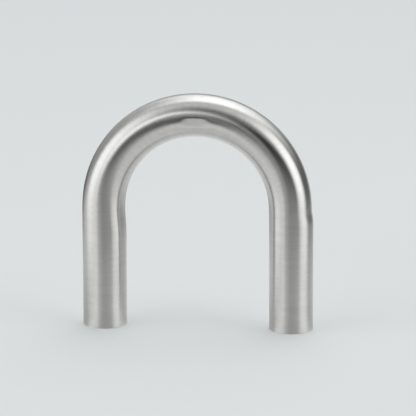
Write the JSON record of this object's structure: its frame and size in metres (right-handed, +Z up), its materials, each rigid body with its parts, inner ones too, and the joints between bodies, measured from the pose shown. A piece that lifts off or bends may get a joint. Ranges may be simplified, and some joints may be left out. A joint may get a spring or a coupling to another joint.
{
  "type": "exhaust u-bend",
  "caption": "Hollow round steel tube bent through half a turn into an arch, with straight legs of equal length and square-cut, deburred ends.",
  "frame": {"origin": "midway between the legs' centre lines, in the plane of the two cut ends, on which the part stands", "axes": "+X from the left leg to the right leg, +Y through the arch from front to back, +Z up to the top of the arch"},
  "size_m": [0.237, 0.0456, 0.243],
  "materials": {
    "brushed_stainless": "satin, with fine brush marks running round the tube"
  },
  "bodies": {
    "root": {"tube": "brushed_stainless"}
  },
  "joints": []
}
